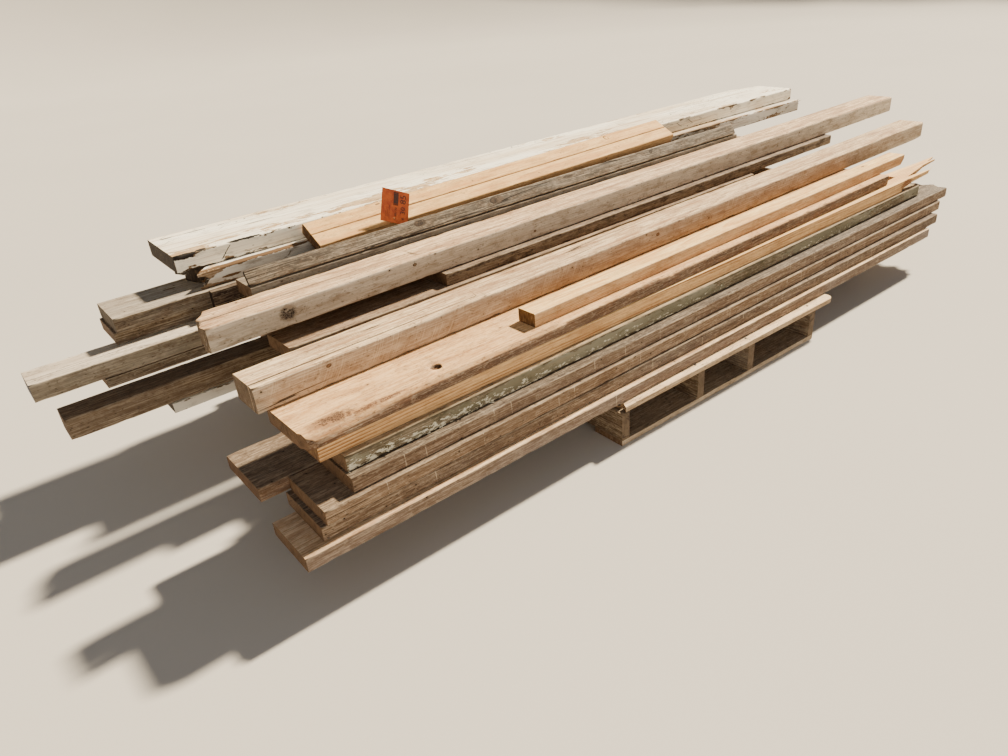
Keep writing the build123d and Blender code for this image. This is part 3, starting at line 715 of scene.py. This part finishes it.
def wornBoard(node, amount):
    # the same board cut into short lengths, its arrises dented a little inwards
    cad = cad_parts[node]
    place = boardFrame(node)
    length, width, thick = place["size"]
    shape = bmesh.new()
    shape.from_mesh(cad.data)
    bmesh.ops.remove_doubles(shape, verts=shape.verts, dist=wear["sameSpot"])
    bmesh.ops.dissolve_limit(shape, angle_limit=0.01, verts=shape.verts, edges=shape.edges)
    planes = [("across", wear["band"]), ("across", width - wear["band"]),
              ("up", wear["band"]), ("up", thick - wear["band"])]
    planes += [("along", wear["step"] * i) for i in range(1, int(length / wear["step"]) + 1)]
    for axis, distance in planes:
        bisect(shape, place["corner"] + place[axis] * distance, place[axis], wear["sameSpot"])
    seed = len(node) * 3.7
    for vert in shape.verts:
        x, y, z = (vert.co - place["corner"]) @ place["turn"]
        rim = max(min(y, width - y), min(z, thick - z))
        near = max(0.0, 1.0 - rim / wear["band"]) * amount
        slow = roughness.noise(Vector((x * 7.0 + seed, y * 20.0, z * 20.0))) * 0.5 + 0.5
        quick = roughness.noise(Vector((x * 38.0 - seed, y * 30.0, z * 30.0)))
        dent = near * (wear["depth"] * slow + wear["nick"] * max(0.0, quick - wear["nickFrom"]) * 2.0)
        vert.co += place["across"] * (dent if y < width / 2 else -dent)
        vert.co += place["up"] * (dent if z < thick / 2 else -dent)
    bmesh.ops.recalc_face_normals(shape, faces=shape.faces)
    mesh = asMesh("worn_" + node, shape)
    mesh.shade_smooth()
    mesh.set_sharp_from_angle(angle=math.radians(wear["sharpDegrees"]))
    mesh.materials.append(cad.data.materials[0])
    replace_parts(addPiece("worn_" + node, mesh), node)


for node, amount in wearOf.items():
    wornBoard(node, amount)
print("arrises worn")


class Scatter(NodeTree):
    # a Geometry Nodes tree that lays many small copies of one shape on a mesh
    def __init__(self, name, sizes):
        super().__init__(bpy.data.node_groups.new(name, "GeometryNodeTree"))
        self.name = name
        self.sizes = sizes
        self.keys = {}
        sockets = self.tree.interface
        sockets.new_socket("Geometry", in_out="INPUT", socket_type="NodeSocketGeometry")
        for label, value in sizes.items():
            kind = "NodeSocketInt" if isinstance(value, int) else "NodeSocketFloat"
            self.keys[label] = sockets.new_socket(label, in_out="INPUT", socket_type=kind).identifier
        sockets.new_socket("Geometry", in_out="OUTPUT", socket_type="NodeSocketGeometry")
        self.start = self.node("NodeGroupInput")

    def size(self, label): return self.start.outputs[label]

    def span(self, low, high, seed=None):
        # a random vector between two, by a seed of its own or by the tree's
        made = self.node("FunctionNodeRandomValue", {"data_type": "FLOAT_VECTOR"})
        ports = {port.name: port for port in made.inputs if port.enabled}
        ports["Min"].default_value = low
        ports["Max"].default_value = high
        if seed is None:
            self.tree.links.new(self.size("Seed"), ports["Seed"])
        else:
            ports["Seed"].default_value = seed
        return next(port for port in made.outputs if port.enabled)

    def points(self):
        # random places on the faces, as close together as the sizes say
        return self.node("GeometryNodeDistributePointsOnFaces", {},
                         {"Mesh": self.start.outputs["Geometry"], "Density": self.size("Per square metre"),
                          "Seed": self.size("Seed")})

    def build(self, inputs, onMesh, material, node):
        # copies on the points, made real, as one plain mesh
        copies = self.node("GeometryNodeInstanceOnPoints", {}, inputs)
        real = self.node("GeometryNodeRealizeInstances", {}, {"Geometry": copies.outputs[0]})
        final = self.node("GeometryNodeSetMaterial", {},
                          {"Geometry": real.outputs[0], "Material": material})
        self.node("NodeGroupOutput", {}, {0: final.outputs[0]})
        carrier = addObject(self.name + "_carrier", onMesh)
        modifier = carrier.modifiers.new("scatter", "NODES")
        modifier.node_group = self.tree
        for label, value in self.sizes.items():
            modifier[self.keys[label]] = value
        mesh = asDrawn(carrier)
        carrier.modifiers.remove(modifier)
        bpy.data.objects.remove(carrier)
        mesh.name = self.name
        addPiece(self.name, mesh)
        print(self.name, len(mesh.polygons), "faces")


def facesWhere(node, test, name, cuts=()):
    # a copy of the faces of one CAD node whose middle passes the test, cut first at the planes
    shape = bmesh.new()
    shape.from_mesh(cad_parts[node].data)
    for point, axis in cuts:
        bisect(shape, point, axis, 0.0)
    away = [face for face in shape.faces if not test(face.calc_center_median(), face.normal)]
    bmesh.ops.delete(shape, geom=away, context="FACES")
    return asMesh(name, shape)


splinterSpread = 0.16  # radians either way from the board's length
tornEnds = {"Per square metre": 5000.0, "Seed": 11, "Length": 0.045, "Width": 0.0016}


def splinters(name, node, end, test, changes):
    # thin cones that point out of a torn end: 1 is the right one and -1 the left one
    tree = Scatter(name, {**tornEnds, **changes})
    cone = tree.node("GeometryNodeMeshCone", {},
                     {"Vertices": 5, "Radius Top": 0.0, "Radius Bottom": tree.size("Width"),
                      "Depth": tree.size("Length")})
    ahead = end * math.pi / 2
    turn = tree.span((-splinterSpread, ahead - splinterSpread, -splinterSpread),
                     (splinterSpread, ahead + splinterSpread, splinterSpread), 3)
    tree.build({"Points": tree.points().outputs["Points"], "Instance": cone.outputs["Mesh"], "Rotation": turn,
                "Scale": tree.span((0.4, 0.4, 0.15), (1.3, 1.0, 1.0), 5)},
               facesWhere(node, test, name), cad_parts[node].data.materials[0], node)


def endFaces(node, end, depth):
    # the faces near one end of a board that look along it
    place = boardFrame(node)
    length = place["size"][0]

    def test(middle, normal):
        x = (middle - place["corner"]).dot(place["along"])
        near = x < depth if end < 0 else x > length - depth
        return near and normal.dot(place["along"]) * end > 0.3
    return test


def nearDeckEnd(middle, normal):
    # the left end of the deck board nearest the front
    return middle.y < -0.49 and normal.x < -0.4


for name, node, end, depth, changes in (
        ("splinters_white_right", "lower_white_plank", 1, 0.2, {}),
        ("splinters_white_left", "lower_white_plank", -1, 0.1,
         {"Per square metre": 1200.0, "Length": 0.016, "Width": 0.0009, "Seed": 5}),
        ("splinters_front_right", "front_plank_4", 1, 0.2, {"Length": 0.035, "Seed": 7}),
        ("splinters_tan", "tan_plank", 1, 0.45, {"Length": 0.07, "Seed": 3}),
        ("splinters_broken", "broken_plank", -1, 0.1, {"Length": 0.03, "Seed": 9})):
    splinters(name, node, end, endFaces(node, end, depth), changes)
splinters("splinters_deck", "pallet_deck_boards", -1, nearDeckEnd,
          {"Length": 0.035, "Width": 0.0013, "Seed": 2})
print("torn ends splintered")


nailSizes = {"Seed": 4, "Head radius": 0.0042, "Head height": 0.0012}
nailPlaces = {"widestRunner": 0.06, "apart": 0.004, "fromFront": (0.022, 0.07), "tilt": 0.12,
              "tones": tone(("221c19", "3e281b"))}


def speckled(name, scale, start, end, tones, rough, depth):
    # a first colour with noisy specks of a second one
    web = Web(name)
    speck = web.noise(web.objectPlace(), 3, 0.6, scale)
    return web.finish(web.mix(web.step(speck, start, end), *tones), rough, speck, depth)


def palletNails():
    # pairs of nail heads on the front deck board, over each runner
    lows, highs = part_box("pallet_deck_boards")
    widest, apart, tilt = nailPlaces["widestRunner"], nailPlaces["apart"], nailPlaces["tilt"]
    sides = sorted({round(v.co.x, 3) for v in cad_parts["pallet_stringers"].data.vertices})
    middles = []
    for low, high in zip(sides, sides[1:]):
        if high - low < widest and (not middles or low - middles[-1] > widest):
            middles.append((low + high) / 2)
    spots = [(x + way * apart, lows.y + y, highs.z) for x in middles
             for way, y in zip((-1, 1), nailPlaces["fromFront"])]
    mesh = bpy.data.meshes.new("nail_spots")
    mesh.from_pydata(spots, [], [])
    tree = Scatter("pallet_nails", nailSizes)
    head = tree.node("GeometryNodeMeshCylinder", {},
                     {"Vertices": 10, "Radius": tree.size("Head radius"), "Depth": tree.size("Head height")})
    tree.build({"Points": tree.start.outputs["Geometry"], "Instance": head.outputs["Mesh"],
                "Rotation": tree.span((-tilt, -tilt, 0.0), (tilt, tilt, 6.28))},
               mesh, speckled("nail_steel", 300.0, 0.4, 0.65, nailPlaces["tones"], 0.6, 0.0003),
               "pallet_deck_boards")
    print("runners at", [round(x, 3) for x in middles])


palletNails()


flakeSizes = {"Per square metre": 2600.0, "Seed": 21, "Length": 0.013, "Width": 0.0045, "Curl": 0.0018}
flakeLook = {"reach": 0.42, "lowShare": 0.55, "tilt": 0.1, "tones": tone(("cecbba", "968e76"))}


def paintFlakes(name, node):
    # thin curled flakes of old paint that stand off the lower front of a board, near its left end
    place = boardFrame(node)
    lowHeight = place["size"][2] * flakeLook["lowShare"]

    def test(middle, normal):
        away = middle - place["corner"]
        onPlace = away.dot(place["up"]) < lowHeight and away.dot(place["along"]) < flakeLook["reach"]
        return onPlace and normal.dot(place["across"]) < -0.8

    tree = Scatter(name, flakeSizes)
    sheet = tree.node("GeometryNodeMeshGrid", {},
                      {"Vertices X": 4, "Vertices Y": 3, "Size X": tree.size("Length"),
                       "Size Y": tree.size("Width")})
    where = tree.node("GeometryNodeInputPosition").outputs[0]
    waves = tree.node("ShaderNodeTexNoise", {}, {"Vector": where, "Scale": 110.0, "Detail": 1.0})
    lift = tree.node("ShaderNodeMath", {"operation": "MULTIPLY"}, {0: waves.outputs[0], 1: tree.size("Curl")})
    offset = tree.node("ShaderNodeCombineXYZ", {}, {2: lift.outputs[0]})
    curled = tree.node("GeometryNodeSetPosition", {},
                       {"Geometry": sheet.outputs["Mesh"], "Offset": offset.outputs[0]})
    points = tree.points()
    tilt = flakeLook["tilt"]
    spin = tree.node("FunctionNodeRotateRotation", {},
                     {"Rotation": points.outputs["Rotation"],
                      "Rotate By": tree.span((-tilt, -tilt, -3.14), (tilt, tilt, 3.14), 2)})
    cuts = ((place["corner"] + place["along"] * flakeLook["reach"], place["along"]),
            (place["corner"] + place["up"] * lowHeight, place["up"]))
    tree.build({"Points": points.outputs["Points"], "Instance": curled.outputs[0],
                "Rotation": spin.outputs[0], "Scale": tree.span((0.3, 0.3, 1.0), (1.3, 1.3, 1.0), 6)},
               facesWhere(node, test, name, cuts),
               speckled(name, 160.0, 0.45, 0.7, flakeLook["tones"], 0.7, 0.0004), node)


paintFlakes("flakes_green", "green_plank")
print("flakes laid")


sliver = {"at": (0.345, 0.262), "turn": -0.95, "long": 0.026, "wide": 0.0045, "high": 0.006, "thick": 0.0012,
          "taper": 0.8, "sunk": 0.0008, "steps": 8}


def tornSliver():
    # a torn-up splinter that bows off the top of the back batten
    place = boardFrame("new_batten_back")
    seat = (Vector((*sliver["at"], 0.6)) - place["corner"]) @ place["turn"]
    seat.z = place["size"].z - sliver["sunk"]
    points, faces = [], []
    for i in range(sliver["steps"] + 1):
        t = i / sliver["steps"]
        half = sliver["wide"] * (1.0 - sliver["taper"] * t) / 2
        rise = sliver["high"] * math.sin(math.pi * t)
        for side, lift in ((-1, 0), (1, 0), (1, 1), (-1, 1)):
            points.append(((t - 0.5) * sliver["long"], side * half, rise + lift * sliver["thick"]))
        if i:
            corners = [(4 * i + k, 4 * i + (k + 1) % 4) for k in range(4)]
            faces += [(a - 4, b - 4, b, a) for a, b in corners]
    last = len(points) - 4
    faces += [(3, 2, 1, 0), (last, last + 1, last + 2, last + 3)]
    mesh = bpy.data.meshes.new("batten_sliver")
    mesh.from_pydata(points, [], faces)
    shape = bmesh.new()
    shape.from_mesh(mesh)
    bmesh.ops.recalc_face_normals(shape, faces=shape.faces)
    shape.to_mesh(mesh)
    shape.free()
    turn = place["turn"].to_4x4() @ Matrix.Rotation(sliver["turn"], 4, "Z")
    mesh.transform(Matrix.Translation(place["corner"] + place["turn"] @ seat) @ turn)
    mesh.materials.append(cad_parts["new_batten_back"].data.materials[0])
    addPiece("batten_sliver", mesh)


tornSliver()


studio = {"sunPower": 15.0, "sunSoft": 4.0, "sunFrom": (1.10, 0.12, 1.0), "sunTone": (1.0, 0.87, 0.66),
          "fillPower": 66.0, "fillSize": 3.6, "fillAt": (-1.6, -5.2, 1.3), "fillTone": (1.0, 1.0, 1.0),
          "sky": 0.24, "skyTone": (0.95, 0.97, 1.0, 1.0), "middle": Vector((0.2, 0.0, 0.3)),
          "floorFlat": (0.0, 6.0, 11.0), "sweep": 5.0, "floorSides": 48,
          "floorTone": tone("bab4ac"), "floorPale": tone("c2bcb4")}


def studioFloor():
    # a round floor that sweeps up far away
    sweep, count = studio["sweep"], studio["floorSides"]
    rings = [(radius, 0.0) for radius in studio["floorFlat"]]
    for step in range(1, 9):
        angle = step * math.pi / 20
        rings.append((studio["floorFlat"][-1] + sweep * math.sin(angle), sweep * (1 - math.cos(angle))))
    points, faces = [], []
    for radius, height in rings:
        for k in range(count):
            angle = 2 * math.pi * k / count
            points.append((radius * math.cos(angle), radius * math.sin(angle), height))
    for ring in range(len(rings) - 1):
        for k in range(count):
            a, b = ring * count + k, ring * count + (k + 1) % count
            faces.append((a, a + count, b + count, b))
    mesh = bpy.data.meshes.new("studio_floor")
    mesh.from_pydata(points, [], faces)
    mesh.shade_smooth()
    web = Web("floor_pale")
    soft = web.noise(web.objectPlace(), 2, 0.5, 0.6)
    mesh.materials.append(web.finish(web.mix(soft, studio["floorTone"], studio["floorPale"]), 0.9, soft, 0.0))
    addObject("studio_floor", mesh)


def lamp(name, kind, power, colour, place):
    light = bpy.data.lights.new(name, kind)
    light.energy = power
    light.color = colour
    holder = addObject(name, light)
    holder.location = place
    holder.rotation_euler = (studio["middle"] - Vector(place)).to_track_quat("-Z", "Y").to_euler()
    return light


studioFloor()
sunPlace = studio["middle"] + 5 * Vector(studio["sunFrom"])
lamp("key", "SUN", studio["sunPower"], studio["sunTone"], sunPlace).angle = math.radians(studio["sunSoft"])
lamp("fill", "AREA", studio["fillPower"], studio["fillTone"], studio["fillAt"]).size = studio["fillSize"]
world = bpy.data.worlds.new("studio")
world.use_nodes = True
background = world.node_tree.nodes["Background"]
background.inputs["Color"].default_value = studio["skyTone"]
background.inputs["Strength"].default_value = studio["sky"]
bpy.context.scene.world = world

# the focal length and the width are in pixels of the photo, the angles in degrees
view = {"focal": 757.588, "width": 1008.0, "place": (-1.7661, -1.8586, 1.2364),
        "yaw": 54.07, "pitch": 28.98, "roll": -4.96, "sensor": 36.0}


def photoCamera():
    yaw, pitch, roll = (math.radians(view[key]) for key in ("yaw", "pitch", "roll"))
    ahead = Vector((math.cos(pitch) * math.cos(yaw), math.cos(pitch) * math.sin(yaw), -math.sin(pitch)))
    level = Vector((math.sin(yaw), -math.cos(yaw), 0.0))
    above = level.cross(ahead)
    right = level * math.cos(roll) + above * math.sin(roll)
    up = above * math.cos(roll) - level * math.sin(roll)
    turn = Matrix((right, up, -ahead)).transposed()
    data = bpy.data.cameras.new("photo_view")
    data.sensor_width = view["sensor"]
    data.lens = view["focal"] / view["width"] * view["sensor"]
    data.clip_end = 100.0
    camera = addObject("photo_view", data)
    camera.matrix_world = Matrix.Translation(view["place"]) @ turn.to_4x4()
    bpy.context.scene.camera = camera


photoCamera()
print("studio set")
